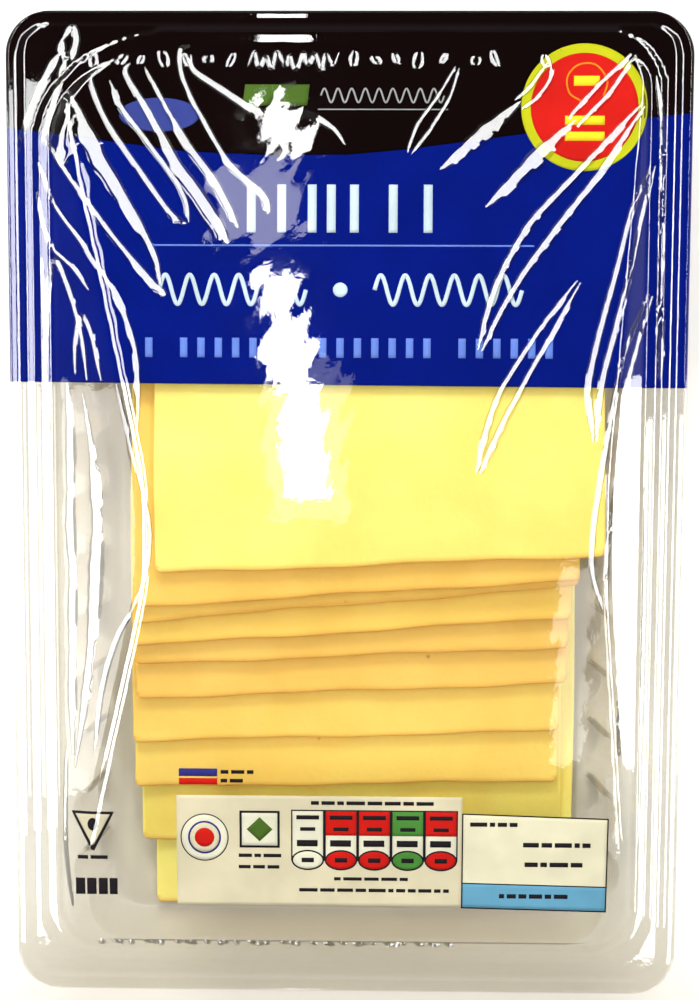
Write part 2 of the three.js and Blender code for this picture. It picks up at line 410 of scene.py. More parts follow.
def filmMaterial():
    # clear stretched film: see-through, with a sharp mirror on top and a faint orange peel
    shader = Shader(bpy.data.materials.new("clearFilm"))
    grain = shader.grain(500.0, 130.0)
    gloss = shader.add("ShaderNodeBsdfGlossy", {
        "Roughness": shader.ramp(grain["Fine"], 0.012, 0.035),
        "Normal": shader.bump(grain["Broad"], 0.00002),
    })
    share = mirrorShare(shader, *clearLook["filmMirror"])
    return clearMaterial(shader, clearLook["filmTint"], share, gloss)


def trayMaterial():
    # clear rigid plastic: see-through, milky where it is seen aslant, glossy with slight forming marks
    shader = Shader(bpy.data.materials.new("clearTray"))
    grain = shader.grain(350.0, 45.0)
    cloud = shader.ramp(grain["Broad"], 0, 1)
    milk = shader.add("ShaderNodeBsdfPrincipled", {
        "Base Color": shader.blend(cloud, clearLook["trayDull"], clearLook["trayMilk"]),
        "Roughness": shader.ramp(grain["Fine"], 0.08, 0.2),
        "Specular IOR Level": 0.5,
        "Normal": shader.bump(grain["Broad"], 0.0001),
    })
    share = mirrorShare(shader, *clearLook["trayHaze"])
    return clearMaterial(shader, clearLook["trayTint"], share, milk)


cheeseLook = {
    "deep": (0.95, 0.91, 0.8),  # shares of a slice's own colour that the marbling runs between
    "pale": 1.04,
    "dryEdgeAndShadeTone": linear(222, 160, 66),  # the drier cut edges, deepened further as painted shade
    "pitTone": linear(196, 140, 50),
    "pitScale": 170.0,
    "pitChance": (0.93, 0.95),
    "pitEdge": (0.03, 0.1),
    "scatter": 0.25,
    "scatterDepth": 0.002,
}


def cheeseMaterial(name, colour):
    # pressed cheese: waxy, faintly marbled, with a few shallow pits, and front cut edges deepened in colour,
    # partly for their drier cheese and partly as painted shade
    shader = Shader(bpy.data.materials.new(name))
    grain = shader.grain(700.0, 55.0)
    cloud = shader.ramp(grain["Broad"], 0, 1)
    marbled = shader.blend(cloud, scaled(colour, cheeseLook["deep"]), scaled(colour, cheeseLook["pale"]))
    # a pit sits in the middle of a cell, in the few cells whose random red is high enough
    place = shader.add("ShaderNodeTexCoord").outputs["Object"]
    cells = shader.add("ShaderNodeTexVoronoi", {"Vector": place, "Scale": cheeseLook["pitScale"]}).outputs
    chosen = shader.add("ShaderNodeSeparateColor", {0: cells["Color"]})
    few = shader.ramp(chosen, 0.0, 1.0, *cheeseLook["pitChance"])
    pits = shader.maths("MULTIPLY", shader.ramp(cells["Distance"], 1.0, 0.0, *cheeseLook["pitEdge"]), few)
    spotted = shader.blend(pits, marbled, cheeseLook["pitTone"])
    # the edge mark: drier cheese and painted shade along the front cut edge
    edge = shader.add("ShaderNodeAttribute", attribute_name="edge").outputs["Fac"]
    return shader.finish(shader.add("ShaderNodeBsdfPrincipled", {
        "Base Color": shader.blend(edge, spotted, cheeseLook["dryEdgeAndShadeTone"]),
        "Roughness": shader.ramp(grain["Fine"], 0.42, 0.58),
        "Specular IOR Level": 0.35,
        "Subsurface Weight": cheeseLook["scatter"],
        "Subsurface Scale": cheeseLook["scatterDepth"],
        "Subsurface Radius": (1.0, 0.7, 0.25),
        "Normal": shader.bump(grain["Fine"], 0.00012),
    }))


# cheese: ten slices, fanned and draped over the ends of those below

slices = {
    "size": 93.0,
    "thickness": 2.4,
    "gap": 0.15,
    "cornerRadius": 1.5,
    "cornerGap": 0.6,  # between a corner's bend and the even part of the grid
    "edgeRadius": 0.5,
    "slopes": [0.045, 0.069, 0.088, 0.072, 0.047, 0.043, 0.033, 0.023, 0.015, 0.01],
    # each slice's colour carries painted light: one cheese, made lighter or darker slice by slice for the
    # light and shade that falls on it
    "paintedLightColours": [
        (253, 232, 131), (244, 203, 103), (242, 203, 101), (246, 208, 103), (241, 199, 102),
        (247, 204, 106), (249, 213, 111), (255, 216, 112), (255, 232, 120), (255, 238, 134),
    ],
    "unevenness": 0.05,
    "keep": (0.998, 0.994),  # shares of the full size that leave room for the wander
    "wander": (0.22, 0.1, 0.15),  # broad and fine along the front edge, and at the sides
    "edgeReach": 1.3,
    "edgeShare": 0.8,
    "columns": 52,
    "drapeRun": 18.0,
    "drapeKeep": 0.2,
}
sliceNames = [f"slice_{number:02d}" for number in range(1, 11)]


def backEdge(index):
    # how far back a slice reaches, with its lean in the fan
    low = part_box(sliceNames[index])[0].y / mm
    return low + slices["size"] + slices["slopes"][index] * slices["size"]


def sliceUnderside(index, y):
    # the floor, and one thickness and gap for each slice below, fading past that slice's back edge
    height = np.full_like(y, tray["wall"] + 2 * slices["gap"])
    for below in range(index + 1, len(sliceNames)):
        lift = 1 + (slices["drapeKeep"] - 1) * smoothStep((y - backEdge(below)) / slices["drapeRun"])
        height += lift * (slices["thickness"] + slices["gap"])
    return height


def roundedGrid(half, radius, edgeRadius, count):
    # a square grid, denser at its border, whose four corners are bent into quarter circles.
    # It gives x, y and the distance from the border.
    inset = edgeRadius * np.array([0, 0.08, 0.3, 0.6, 1.0])
    square = radius + slices["cornerGap"]
    inner = np.linspace(-half + square, half - square, count)
    bend = np.linspace(edgeRadius, square, 6)[1:-1]
    line = np.concatenate([-half + inset, -half + bend, inner, half - bend[::-1], half - inset[::-1]])
    x, y = np.meshgrid(line, line)
    away = half - np.maximum(np.abs(x), np.abs(y))
    u = np.clip((np.abs(x) - half + radius) / radius, 0, None)
    v = np.clip((np.abs(y) - half + radius) / radius, 0, None)
    roundX = np.sign(x) * (half - radius + radius * u * np.sqrt(1 - v**2 / 2))
    roundY = np.sign(y) * (half - radius + radius * v * np.sqrt(1 - u**2 / 2))
    both = (u > 0) & (v > 0)
    return np.where(both, roundX, x), np.where(both, roundY, y), away


def makeSlice(index):
    # a rounded square grid that leans and lies on the slices below. Its faces fall off as a quarter circle
    # towards the cut edges.
    name = sliceNames[index]
    low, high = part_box(name)
    slope = slices["slopes"][index]
    half = slices["size"] / 2
    u, v, away = roundedGrid(half, slices["cornerRadius"], slices["edgeRadius"], slices["columns"])
    midX = (low.x + high.x) / 2 / mm
    midY = (low.y + high.y) / 2 / mm
    # a knife's slight wander along the cut edges, then the slice's lean in the fan
    broad, fine, side = slices["wander"]
    wave = broad * np.sin(u * 0.11 + index * 1.7) + fine * np.sin(u * 0.31 + index * 2.9)
    x = midX + u * slices["keep"][0] + side * np.sin(v * 0.09 + index * 2.3)
    y = midY + v * slices["keep"][1] + slope * u + wave * (v < 0)
    under = sliceUnderside(index, y)
    radius = slices["edgeRadius"]
    drop = radius - np.sqrt(np.maximum(radius**2 - np.maximum(radius - away, 0) ** 2, 0))
    ripple = slices["unevenness"] * np.sin(x * 0.13 + index) * np.sin(y * 0.17 + 2 * index)
    top = under + slices["thickness"] + ripple - drop
    points, faces = sheetParts(x, y, top, under + ripple + drop)
    # the slice's colour carries painted light and shade
    material = cheeseMaterial(name + "Cheese", linear(*slices["paintedLightColours"][index]))
    piece = makePiece(name + "_cut", points, [faces], [material])
    # the drier tone, with painted shade, shows along the front edge only, the side turned away from the light
    edge = np.clip(1 - away / slices["edgeReach"], 0, 1) * (v < slices["cornerRadius"] - half)
    edge = (edge * slices["edgeShare"]).ravel()
    attribute = piece.data.attributes.new("edge", "FLOAT", "POINT")
    attribute.data.foreach_set("value", np.concatenate([edge, edge]).astype(np.float32))
    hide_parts(name)


for index in range(len(sliceNames)):
    makeSlice(index)
print("ten slices made")


# tray: rings of points carried from the floor, up the fluted wall and over the flange

def outlineRing(left, right, footY, headY, radius, peel, fluteDepth, fluteHalf, z):
    # anticlockwise: a fluted right side, the head, a fluted left side and the foot, with a quarter
    # ellipse at each corner. A flute is half an ellipse that bulges outwards.
    parts = []
    turn = np.linspace(0, math.pi, flute["steps"])

    def fluteRow(x, side):
        for i in range(flute["count"]):
            y = flute["centreY"] + side * (i - (flute["count"] - 1) / 2) * flute["pitch"]
            bulge, along = side * fluteDepth * np.sin(turn), side * fluteHalf * np.cos(turn)
            parts.append(np.stack([x + bulge, y - along], -1))

    def corner(cx, cy, rx, ry, start):
        angle = start + np.linspace(0, math.pi / 2, tray["cornerSteps"])
        parts.append(np.stack([cx + rx * np.cos(angle), cy + ry * np.sin(angle)], -1))

    fluteRow(right, 1)
    corner(right - radius, headY - radius, radius, radius, 0)
    corner(left + peel[0], headY - peel[1], peel[0], peel[1], math.pi / 2)
    fluteRow(left, -1)
    corner(left + radius, footY + radius, radius, radius, math.pi)
    corner(right - radius, footY + radius, radius, radius, -math.pi / 2)
    flat = np.concatenate(parts)
    return np.column_stack([flat, np.full(len(flat), z)])


def cavityRing(grow, z):
    # a plain ring that far outside the cavity's edge
    return outlineRing(
        cavity["left"] - grow, cavity["right"] + grow, cavity["foot"] - grow, cavity["head"] + grow,
        tray["cavityRadius"] + grow, (tray["peelAcross"] + grow, tray["peelDown"] + grow),
        0.0, flute["halfWidth"], z,
    )


def edgeRing(inset, z):
    # a plain ring that far inside the pack's outline
    radius = pack["cornerRadius"] - inset
    halfX = pack["halfWidth"] - inset
    halfY = pack["halfLength"] - inset
    return outlineRing(-halfX, halfX, -halfY, halfY, radius, (radius, radius), 0.0, flute["halfWidth"], z)


def wallRing(grow, lean, z, depthShare=1.0):
    # a fluted ring in the wall under the ledge. lean is 0 at the top of the wall and 1 at the foot.
    inset = ledge["width"] + foot["draft"] * lean - grow
    endInset = ledge["endWidth"] + foot["endDraft"] * lean - grow
    return outlineRing(
        cavity["left"] + inset, cavity["right"] - inset,
        cavity["foot"] + endInset, cavity["head"] - endInset,
        tray["cavityRadius"] - foot["tighter"] + grow,
        (tray["peelAcross"] - ledge["width"], tray["peelDown"] - ledge["endWidth"]),
        flute["depth"] * depthShare, flute["halfWidth"] + grow, z,
    )


def trayRings(down, lift):
    # one side of the sheet, from the middle of the floor to the cavity's edge. down is how far the side
    # lies outwards of the inner wall, and lift is the floor's height.
    top = tray["height"] - ledge["drop"] - down
    turned = np.array([0.0, 0.12, 0.3, 0.55, 0.8, 1.0])
    rings = []
    plain = wallRing(down - foot["fillet"] - foot["plain"], 1.0, lift, 0.0)
    middle = np.array([*tray["middle"], lift])
    for share in (0.25, 0.5, 0.75, 1.0):
        rings.append(middle + (plain - middle) * share)
    for t in turned * math.pi / 2:
        grow, rise = foot["fillet"] * (math.sin(t) - 1), foot["fillet"] * (1 - math.cos(t))
        rings.append(wallRing(down + grow, 1.0, lift + rise))
    for share in (0.2, 0.4, 0.6, 0.8, 0.95):
        z = lift + foot["fillet"] + (top - lift - foot["fillet"]) * share
        rings.append(wallRing(down, 1 - share, z))
    rings.append(wallRing(down + 0.1, 0.0, top - tray["bend"]))
    rings.append(wallRing(down + 0.4, 0.0, top))
    return rings


def makeTray():
    # the inner side's rings, those over the flange and the outer side's, joined by quads and closed by a fan
    # of faces at each end
    height, wall, bend = tray["height"], tray["wall"], tray["bend"]
    across, up = tray["fillet"]
    draft, land, step, run = ledge["draft"], flange["landWidth"], flange["step"], flange["stepRun"]
    ledgeTop = height - ledge["drop"]
    field = height - step
    rim = field - step
    rimWidth = flange["rimWidth"]
    inner = trayRings(0.0, wall)
    outer = trayRings(wall, 0.0)
    over = [
        cavityRing(-draft - across, ledgeTop),
        cavityRing(-draft - 0.05, ledgeTop + bend),
        cavityRing(-draft + 0.1, ledgeTop + up),
        cavityRing(-bend, height - up),
        cavityRing(0.05, height - bend),
        cavityRing(across, height),
        cavityRing(land, height),
        cavityRing(land + run / 2, height - step / 2),
        cavityRing(land + run, field),
        edgeRing(rimWidth + run, field),
        edgeRing(rimWidth + run / 2, field - step / 2),
        edgeRing(rimWidth, rim),
        edgeRing(bend, rim),
        edgeRing(0.0, rim - bend),
        edgeRing(0.0, rim - wall + bend),
        edgeRing(bend, rim - wall),
        edgeRing(rimWidth, rim - wall),
        edgeRing(rimWidth + run, field - wall),
        cavityRing(land + run, field - wall),
        cavityRing(land, height - wall),
        cavityRing(wall + 0.3, height - wall),
        cavityRing(wall, height - wall - 0.2),
        cavityRing(wall - draft, ledgeTop - wall),
    ]
    rings = inner + over + outer[::-1]
    count = len(rings[0])
    points = np.concatenate(rings + [[(*tray["middle"], wall), (*tray["middle"], 0.0)]])
    start = np.arange(count)
    following = np.roll(start, -1)
    quads = []
    for k in range(len(rings) - 1):
        a, b = k * count, (k + 1) * count
        quads.append(np.stack([b + start, b + following, a + following, a + start], -1))
    last = (len(rings) - 1) * count
    topPole, underPole = len(points) - 2, len(points) - 1
    caps = [
        np.stack([start, following, np.full(count, topPole)], -1),
        np.stack([last + following, last + start, np.full(count, underPole)], -1),
    ]
    piece = makePiece("tray_shell", points, [np.concatenate(quads), np.concatenate(caps)], [trayMaterial()],
                      sharp=40)
    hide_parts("tray")


makeTray()
print("tray made")


def packReach(y):
    # how far the pack's outline reaches from the middle at each y, with its rounded corners
    into = np.clip(np.abs(y) - (pack["halfLength"] - pack["cornerRadius"]), 0, pack["cornerRadius"])
    return pack["halfWidth"] - pack["cornerRadius"] + np.sqrt(pack["cornerRadius"] ** 2 - into**2)


def filmRows():
    # rows lie closer together under the print, where the film is most wrinkled
    halfLength = pack["halfLength"]
    ends = [-halfLength, -halfLength + film["footBand"], film["denseFrom"], halfLength]
    bands = zip(ends[:-1], ends[1:], film["rowCounts"])
    runs = [np.linspace(low, high, count, endpoint=False) for low, high, count in bands]
    return np.concatenate(runs + [[halfLength]])


clearFilm = filmMaterial()
filmRowY = filmRows()
filmY = np.repeat(filmRowY[:, None], film["columns"], axis=1)
filmX = np.linspace(-1, 1, film["columns"]) * packReach(filmY)
filmZ = filmHeight(filmX, filmY)


def makeFilm():
    # the film's height over its grid, and its underside one thickness lower
    points, faces = sheetParts(filmX, filmY, filmZ, filmZ - film["thickness"])
    piece = makePiece("lid_film_sheet", points, [faces], [clearFilm])
    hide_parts("lid_film")


makeFilm()
print("film made, highest point", round(float(filmZ.max()), 2), "mm")


def onFilm(x, y):
    # the height of the film's own grid at each point, by bilinear interpolation
    rows, columns = filmZ.shape
    r = np.interp(y, filmRowY, np.arange(rows))
    s = x / packReach(y)
    c = (np.clip(s, -1, 1) + 1) / 2 * (columns - 1)
    r0 = np.minimum(r.astype(int), rows - 2)
    c0 = np.minimum(c.astype(int), columns - 2)
    fr, fc = r - r0, c - c0
    lower = filmZ[r0, c0] * (1 - fc) + filmZ[r0, c0 + 1] * fc
    upper = filmZ[r0 + 1, c0] * (1 - fc) + filmZ[r0 + 1, c0 + 1] * fc
    return lower * (1 - fr) + upper * fr


# creases: narrow raised folds in the film, each with a flank that mirrors one of the side panels

crease = {
    "lift": 0.03,  # how far a crease stands clear of the film's grid
    "under": 0.012,
    "spacing": 0.5,
    "backRun": (0.15, 0.2),  # the slopes beside a flank: this much, and this share of its thickness
    "steepest": 0.5,
    "rounds": 14,
    "leastRun": 0.25,  # a path that runs across the pack is graded as if it turned this much along it
    "endShare": 0.25,  # of its thickness at a path's ends, which are this share of its length
    "endRun": 1 / 8,
    "unevenness": 0.08,
}

# Each crease: its path, the bright line's thickness along it, and maybe the gap between two such lines.
creases = [
    # from the peeling corner
    ([(-58.2, 96.5), (-56.2, 99.0), (-55.4, 96.4), (-56.6, 93.0), (-58.4, 94.0), (-58.2, 96.8)],
     (0.9, 1.0, 1.2, 1.4, 1.2)),
    ([(-59.0, 93.6), (-62.3, 88.0), (-65.5, 81.0), (-68.0, 73.5)], (1.6, 0.9, 0.6)),
    ([(-57.6, 92.4), (-60.0, 84.5), (-62.6, 76.0)], (1.4, 0.7, 0.5)),
    ([(-57.2, 86.6), (-57.4, 82.0), (-58.2, 76.0), (-58.6, 71.0)], (0.5, 3.0, 4.6, 1.5)),
    ([(-57.0, 86.4), (-52.5, 76.0), (-50.2, 71.2), (-45, 63), (-40, 54), (-38.2, 47.5)],
     (1.0, 3.0, 2.2, 1.2, 0.9)),
    ([(-62, 76.5), (-56.5, 68.5), (-48.5, 57.5), (-40, 47.5), (-37.2, 45.0)], (0.6, 0.8, 0.9, 1.0, 1.6)),
    ([(-63.4, 72), (-60.4, 64), (-54, 55), (-47.3, 44.6), (-43.8, 35), (-43, 27), (-43, 17)],
     (0.5, 0.6, 0.7, 0.9, 0.8, 0.9, 0.6)),
    ([(-63.8, 66), (-61.5, 56), (-56.3, 50.6), (-53, 46)], (0.6, 0.6, 0.5)),
    ([(-62.6, 28), (-62.0, 43), (-60.5, 52), (-58.0, 48), (-55.0, 38), (-53.6, 27.5)],
     (0.6, 0.7, 0.9, 0.7, 0.6)),
    ([(-56.2, 29), (-56.0, 36), (-54.6, 40.6), (-52.6, 37), (-50.6, 27.5)], (0.5, 0.6, 0.9, 0.7, 0.6)),
    # the fan below the seal at the head
    ([(-51.2, 90.4), (-52.4, 88.2), (-49.3, 80.3), (-43.2, 71.2), (-36.2, 61.5), (-33.0, 59.5)],
     (0.6, 0.7, 0.8, 0.9, 1.2)),
    ([(-48.6, 88.4), (-46.0, 82.5), (-40.6, 75.5), (-34.0, 66.0), (-32.4, 59.8)],
     (0.6, 1.0, 0.9, 0.9, 0.7)),
    ([(-44.4, 91.8), (-45.2, 89.6), (-40.5, 81.5), (-35.2, 71.6), (-29, 62.5), (-24.4, 55.5)],
     (0.5, 0.7, 1.2, 1.9, 2.6, 2.2)),
    ([(-41.4, 91.0), (-36.8, 82.3), (-33.1, 76.0), (-27, 67.2), (-22.4, 58.6)],
     (0.6, 0.8, 1.2, 1.6, 1.2)),
    ([(-32.2, 95.4), (-34.2, 94.2), (-33.6, 88.4), (-29.6, 80.3), (-24, 71.3), (-17.6, 65.4), (-16.2, 61.6)],
     (0.5, 0.8, 0.8, 0.9, 1.2, 1.9)),
    ([(-32.0, 93.4), (-31.4, 90.4), (-26, 86.7), (-19, 82.2), (-15, 80.6)], (0.6, 0.9, 1.1, 2.2)),
    ([(-16.5, 80.6), (-13.5, 86.5), (-10.6, 88.0)], (2.4, 1.2, 0.5)),
    ([(-16.5, 80.6), (-9.0, 81.6), (-3.4, 79.0), (-0.6, 75.4)], (2.2, 1.6, 0.8, 0.5)),
    ([(-13.4, 80.0), (-12.8, 74.6), (-14.4, 72.2)], (2.4, 1.2, 0.5)),
    # the left edge and the ledge beside the slices
    ([(-47.4, 27), (-44.4, 14), (-42.0, 5), (-40.6, -3), (-41.4, -12), (-44.4, -20)],
     (0.5, 0.5, 0.6, 0.7, 0.5)),
    ([(-63, 52.5), (-62.5, 38), (-62.6, 27), (-62.4, 15)], (0.5, 0.6, 0.6)),
    ([(-57.9, 27), (-57.3, 15), (-57.5, 0), (-57.2, -15), (-57.5, -30), (-57.6, -52)],
     (1.4, 1.0, 1.6, 1.1, 1.7, 1.0, 1.5, 1.0, 1.4, 0.6)),
    ([(-54.6, 25), (-52.6, 12), (-51.8, -2), (-52.6, -20), (-54.6, -38), (-57.2, -54)],
     (0.5, 0.6, 0.9, 1.9, 1.4, 2.4, 2.0, 1.2, 1.4, 0.7, 0.5)),
    ([(-44.4, -20), (-47.7, -26), (-50.8, -36), (-52.9, -50)], (0.6, 0.8, 0.5)),
    ([(-59.0, -50), (-59.4, -70), (-58.0, -84)], (0.5, 0.6, 0.4)),
    # the right edge
    ([(62.2, 89.4), (63.6, 80), (64, 65), (64.1, 44), (64.3, 28)], (0.7, 0.9, 1.1, 1.3)),
    ([(61.8, 20), (62.0, -20), (61.6, -70)], (0.5, 0.7, 0.5)),
    ([(57.0, 12), (58.6, -4), (56.4, -18), (58.2, -34), (57.0, -50)], (1.0, 2.6, 1.6, 2.8, 1.0)),
    # loops on the right
    ([(22, 91), (19.6, 85.5), (15.3, 79), (12.4, 73.8)], (0.5, 0.6), (0.8, 2.2, 2.8, 1.0)),
    ([(40.6, 92), (39.6, 89), (37.2, 85.8), (34.4, 83.6)], (0.6, 0.7, 0.6), (0.8, 2.4, 2.6, 2.2)),
    ([(34.8, 84.2), (29.4, 79.4), (25.7, 76.2), (18.6, 70.5)], (0.7, 1.7, 2.7, 2.0, 0.9)),
    ([(57, 93), (51.7, 86.6), (45.4, 80.0)], (0.6, 0.9, 0.8), (0.8, 2.8, 2.4)),
    ([(45.8, 80.4), (40.4, 75), (36.4, 71), (28, 63)], (0.7, 1.8, 2.9, 2.0, 0.9)),
    ([(59.6, 83.5), (49, 70), (39, 58), (31.7, 46), (27, 34)],
     (0.9, 1.3, 0.9), (0.8, 3.5, 5.0, 3.5, 0.8)),
    ([(47, 48), (40.4, 37.7), (33, 25), (29.5, 16.7), (27, 9)],
     (0.6, 1.0, 1.2), (0.8, 2.6, 3.6, 2.4, 0.8)),
    ([(62, 71.5), (58.7, 62), (56, 50), (52.7, 37), (50.5, 26.5), (50.6, 15.5)],
     (0.6, 0.9, 1.1), (0.8, 2.4, 2.8, 3.0, 2.6, 0.6)),
    ([(62, 45.5), (57.8, 34), (56, 26), (54, 10.5), (52.4, -2), (52, -11), (53.2, -19)],
     (0.6, 0.8, 0.7), (0.8, 2.4, 2.2, 3.4, 3.4, 3.0, 0.8)),
]


def jagged(left, right, y, rise, count):
    # a row of uneven teeth
    at = np.arange(count)
    x = np.linspace(left, right, count) + 0.2 * np.sin(2.3 * at)
    return np.stack([x, y + rise * np.where(at % 2, 0.5, -0.5) * (1 + 0.4 * np.sin(1.7 * at))], -1)


creases.append((jagged(-20.5, -2.0, 92.4, 2.6, 16), (0.5, 0.7, 0.5, 0.8, 0.5)))

# short upright dents along the seal at the foot, and small loops along the one at the head
dents = {"left": -52, "right": 22, "count": 34, "low": -92.3, "high": -91.4, "thick": 1.2, "lean": 0.13}
puckers = {
    "y": 92.6,
    "x": [-51.9, -46.0, -42.2, -37.6, -33.1, -28.5, -23.9, 1.0, 5.6, 9.6, 14.1, 19.3, 25.8, 29.6, 39.9, 57.1],
    "halfWidth": 0.8,
    "halfHeight": 1.6,
    "thick": (0.5, 0.7, 0.5),
    "backRun": (0.15, 0.0),
}


def flankGrade(places, fall, right, panel):
    # how much steeper, across the path, a flank has to be than the film under it to turn the line of sight
    # to the middle line of a panel. The half vector gives the grade for one point of that line, and the
    # point is moved along it to where the flank really looks.
    sight = np.asarray(view["place"]) - places
    sight /= np.linalg.norm(sight, axis=1, keepdims=True)
    least = crease["leastRun"]
    aside = np.where(np.abs(right[:, 0]) < least, least * np.sign(right[:, 0] + 1e-6), right[:, 0])
    grade = np.zeros(len(places))
    middle, reach = np.asarray(panel["at"], float), panel["up"][1]
    for _ in range(crease["rounds"]):
        normal = np.column_stack([fall + right * grade[:, None], np.ones(len(places))])
        normal /= np.linalg.norm(normal, axis=1, keepdims=True)
        turned = 2 * np.sum(sight * normal, axis=1, keepdims=True) * normal - sight
        met = places[:, 1] + (middle[2] - places[:, 2]) * turned[:, 1] / np.maximum(turned[:, 2], 0.2)
        light = middle - places
        light[:, 1] = np.clip(met, middle[1] - reach, middle[1] + reach) - places[:, 1]
        light /= np.linalg.norm(light, axis=1, keepdims=True)
        half = sight + light
        wanted = (half[:, 0] / half[:, 2] - fall[:, 0]) / aside
        grade = (grade + np.clip(wanted, -crease["steepest"], crease["steepest"])) / 2
    return grade


def creaseParts(path, thick, apart=None, side=0, backRun=crease["backRun"], lean=0.0):
    # a strip along the path: a gentle rise, the flank that shines, and a gentle fall. side takes it to the
    # left or right by half the gap, and lean lifts its start.
    rough = curveThrough(path, 12 * len(path))
    length = np.hypot(*np.diff(rough, axis=0).T).sum()
    curve = curveThrough(path, max(8, int(length / crease["spacing"])))
    share = np.linspace(0, 1, len(curve))
    right = rightOf(curve)
    if apart is not None:
        spread = np.interp(share, np.linspace(0, 1, len(apart)), apart)
        curve = curve + side * right * spread[:, None] / 2
    size = np.interp(share, np.linspace(0, 1, len(thick)), thick)
    taper = np.sqrt(smoothStep(np.minimum(share, 1 - share) / crease["endRun"]))
    size = size * (crease["endShare"] + (1 - crease["endShare"]) * taper)
    size = size * (1 + crease["unevenness"] * np.sin(0.9 * curve[:, 0] + 1.3 * curve[:, 1]))
    z = filmHeight(curve[:, 0], curve[:, 1])
    fall = np.column_stack([
        (z - filmHeight(curve[:, 0] + 0.1, curve[:, 1])) / 0.1,
        (z - filmHeight(curve[:, 0], curve[:, 1] + 0.1)) / 0.1,
    ])
    places = np.column_stack([curve, z])
    choices = [flankGrade(places, fall, right, panel) for panel in lamps[:2]]
    steep = min(choices, key=lambda grades: np.abs(grades).mean())
    back = backRun[0] + backRun[1] * size
    if apart is not None:
        back = np.minimum(back, np.maximum(spread / 2 - size / 2, 0.1))
    # the flank's middle line keeps one height, so that the flank doesn't also lean along the path
    rise = steep * size / 2
    level = np.abs(rise).max() + lean * length * (1 - share)
    near, far = level + rise, level - rise
    zero = np.zeros_like(size)
    offsets = [-size / 2 - back, -size / 2, -size / 6, size / 6, size / 2, size / 2 + back]
    heights = [zero, near, (2 * near + far) / 3, (near + 2 * far) / 3, far, zero]
    x = np.stack([curve[:, 0] + right[:, 0] * offset for offset in offsets])
    y = np.stack([curve[:, 1] + right[:, 1] * offset for offset in offsets])
    base = onFilm(x, y)
    return x, y, base + crease["lift"] + np.stack(heights), base + crease["under"]


def makeCreases():
    # the listed creases, the row of dents at the foot, and the puckers at the head as pairs of half ellipses
    strips = []
    for path, thick, *apart in creases:
        for side in (-1, 1) if apart else (0,):
            strips.append(creaseParts(path, thick, *apart, side=side))
    unevenly = 0.8 * np.sin(1.9 * np.arange(dents["count"]))
    for x in np.linspace(dents["left"], dents["right"], dents["count"]) + unevenly:
        path = [(x, dents["low"] - 0.2 * math.sin(3 * x)), (x + 0.2, dents["high"])]
        thick = (0.7, dents["thick"] + 0.5 * math.sin(5 * x), 0.7)
        strips.append(creaseParts(path, thick, lean=dents["lean"]))
    turn = np.linspace(0.12, 0.88, 6) * math.pi
    for number, middle in enumerate(puckers["x"]):
        # uneven in size, and leaning
        wide = puckers["halfWidth"] * (0.85 + 0.3 * math.sin(2.7 * number))
        tall = puckers["halfHeight"] * (0.8 + 0.3 * math.cos(1.9 * number))
        low = puckers["y"] + 0.5 * math.sin(3.1 * number)
        for side in (-1, 1):
            arc = np.column_stack([
                middle + side * wide * np.sin(turn) + 0.6 * math.sin(1.3 * number) * np.cos(turn),
                low + tall * np.cos(turn),
            ])
            strips.append(creaseParts(arc, puckers["thick"], backRun=puckers["backRun"]))
    points, faces = joinedSheets(strips)
    piece = makePiece("lid_film_creases", points, faces, [clearFilm], sharp=9)
    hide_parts("lid_film")


makeCreases()
print("film's creases made")

ink = {
    "depth": 0.05,  # how far the topmost ink lies under the film's upper face
    "layer": 0.012,  # each layer lies this much deeper than the one before
    "thickness": 0.008,
    "spacing": 0.8,  # between the grid lines of a printed patch
    "blackLayer": 6,
    "blueLayer": 7,
    "blackRows": 46,
    "blueRows": 88,
    "columns": 210,
    "margin": 0.05,  # left bare at the pack's edge
    "overlap": 0.4,  # of the blue under the black
    "meet": [(-70, 79), (-53, 76.7), (-46.7, 75.9), (-33, 74.1), (-16.4, 73.4), (0, 73.5), (12, 74.6),
             (31.5, 77.2), (60, 81), (70, 82.2)],
    "foot": [(-70, 27.2), (70, 26.4)],
}


def makeArt(name, parts):
    # parts holds (shape, tone, layer), where a shape is its x grid and y grid. Each layer lies inside the
    # film, a little under the one before.
    used = list(dict.fromkeys(tone for shape, tone, layer in parts))
    sheets = []
    for (x, y), tone, layer in parts:
        top = onFilm(x, y) - ink["depth"] - ink["layer"] * layer
        sheets.append((x, y, top, top - ink["thickness"]))
    points, faces = joinedSheets(sheets)
    picks = np.repeat([used.index(tone) for shape, tone, layer in parts], [len(part) for part in faces])
    makePiece(name, points, faces, [inks[tone] for tone in used], picks=picks)


def between(lowerLine, upperLine, rows):
    # a full-width field of ink between two lines across the pack, following its rounded corners
    s = np.linspace(-1, 1, ink["columns"])[None, :]
    t = np.linspace(0, 1, rows)[:, None]
    guess = s * pack["halfWidth"]
    low = np.interp(guess, *zip(*lowerLine))
    high = np.interp(guess, *zip(*upperLine))
    y = low + (high - low) * t
    return s * (packReach(y) - ink["margin"]), y


def patch(corners):
    # a grid inside four corners, anticlockwise from the lower left, by bilinear interpolation
    a, b, c, d = (np.asarray(corner, float) for corner in corners)
    across = max(2, int(max(np.hypot(*(b - a)), np.hypot(*(c - d))) / ink["spacing"]) + 1)
    up = max(2, int(max(np.hypot(*(d - a)), np.hypot(*(c - b))) / ink["spacing"]) + 1)
    u = np.linspace(0, 1, across)[None, :, None]
    v = np.linspace(0, 1, up)[:, None, None]
    place = (a * (1 - u) + b * u) * (1 - v) + (d * (1 - u) + c * u) * v
    return place[..., 0], place[..., 1]


def bar(left, right, low, high):
    # a patch with level and upright sides
    return patch([(left, low), (right, low), (right, high), (left, high)])


